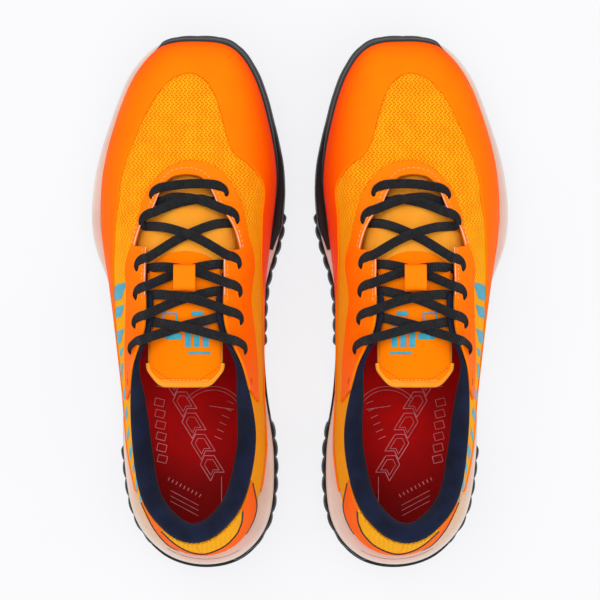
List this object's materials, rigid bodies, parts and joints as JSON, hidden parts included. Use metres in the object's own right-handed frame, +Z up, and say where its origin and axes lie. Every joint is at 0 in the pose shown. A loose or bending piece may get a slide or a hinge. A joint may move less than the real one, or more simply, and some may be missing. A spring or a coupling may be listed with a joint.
{
  "type": "low-cut lace-up sports shoes",
  "caption": "Pair of low-cut lace-up sports shoes with knitted and film-welded uppers, padded collars, laced tongues and lugged rubber outsoles.",
  "frame": {"origin": "on the floor, midway between the two shoes and midway along them", "axes": "+X to the right shoe, +Y to the toes, +Z up"},
  "size_m": [0.2348, 0.3014, 0.1134],
  "materials": {
    "rubber": "matte textured",
    "midsole_foam": "satin moulded foam",
    "board": "stitched non-woven board",
    "insole_textile": "brushed textile",
    "knit": "open knit",
    "toe_film": "welded satin film",
    "side_film": "welded satin film",
    "tab_mesh": "ribbed mesh",
    "piping": "corded edge",
    "lining": "padded spacer mesh",
    "stay_film": "smooth satin film",
    "edge_film": "thin rolled edge",
    "tongue_textile": "padded fine mesh",
    "lace_textile": "flat ribbed weave",
    "aglet": "clear-dipped tip"
  },
  "bodies": {
    "right_shoe": {"right_outsole": "rubber", "right_midsole": "midsole_foam", "right_toe_rand": "rubber", "right_board": "board", "right_vamp_knit": "knit", "right_outer_quarter": "knit", "right_inner_quarter": "knit", "right_back_knit": "knit", "right_toe_film": "toe_film", "right_outer_film": "side_film", "right_inner_film": "side_film", "right_heel_film": "side_film", "right_heel_tab": "tab_mesh", "right_heel_piping": "piping", "right_heel_counter": "board", "right_collar_lining": "lining", "right_eyestay": "stay_film", "right_throat_piping": "edge_film", "right_lace": "lace_textile", "right_outer_aglet": "aglet", "right_inner_aglet": "aglet"},
    "right_tongue_body": {"right_tongue": "tongue_textile", "right_tongue_patch": "stay_film", "right_tongue_binding": "tab_mesh", "right_lace_keeper": "stay_film"},
    "right_insole_body": {"right_insole": "insole_textile"},
    "left_shoe": {"left_outsole": "rubber", "left_midsole": "midsole_foam", "left_toe_rand": "rubber", "left_board": "board", "left_vamp_knit": "knit", "left_outer_quarter": "knit", "left_inner_quarter": "knit", "left_back_knit": "knit", "left_toe_film": "toe_film", "left_outer_film": "side_film", "left_inner_film": "side_film", "left_heel_film": "side_film", "left_heel_tab": "tab_mesh", "left_heel_piping": "piping", "left_heel_counter": "board", "left_collar_lining": "lining", "left_eyestay": "stay_film", "left_throat_piping": "edge_film", "left_lace": "lace_textile", "left_outer_aglet": "aglet", "left_inner_aglet": "aglet"},
    "left_tongue_body": {"left_tongue": "tongue_textile", "left_tongue_patch": "stay_film", "left_tongue_binding": "tab_mesh", "left_lace_keeper": "stay_film"},
    "left_insole_body": {"left_insole": "insole_textile"}
  },
  "joints": [
    {"name": "left_shoe_apart", "type": "slide", "parent": "right_shoe", "child": "left_shoe", "axis": [0, 0, 1], "range_m": [0, 0.2]},
    {"name": "right_tongue_hinge", "type": "hinge", "parent": "right_shoe", "child": "right_tongue_body", "pos_m": [0.0634, 0.0808, 0.0685], "axis": [1, 0, 0], "range_deg": [0, 1.2], "stiffness_Nm_per_rad": 2},
    {"name": "right_insole_lift", "type": "hinge", "parent": "right_shoe", "child": "right_insole_body", "pos_m": [0.0584, 0.1385, 0.033], "axis": [-1, 0, 0], "range_deg": [0, 2]},
    {"name": "left_tongue_hinge", "type": "hinge", "parent": "left_shoe", "child": "left_tongue_body", "pos_m": [-0.0634, 0.0808, 0.0685], "axis": [1, 0, 0], "range_deg": [0, 1.2], "stiffness_Nm_per_rad": 2},
    {"name": "left_insole_lift", "type": "hinge", "parent": "left_shoe", "child": "left_insole_body", "pos_m": [-0.0584, 0.1385, 0.033], "axis": [-1, 0, 0], "range_deg": [0, 2]}
  ]
}
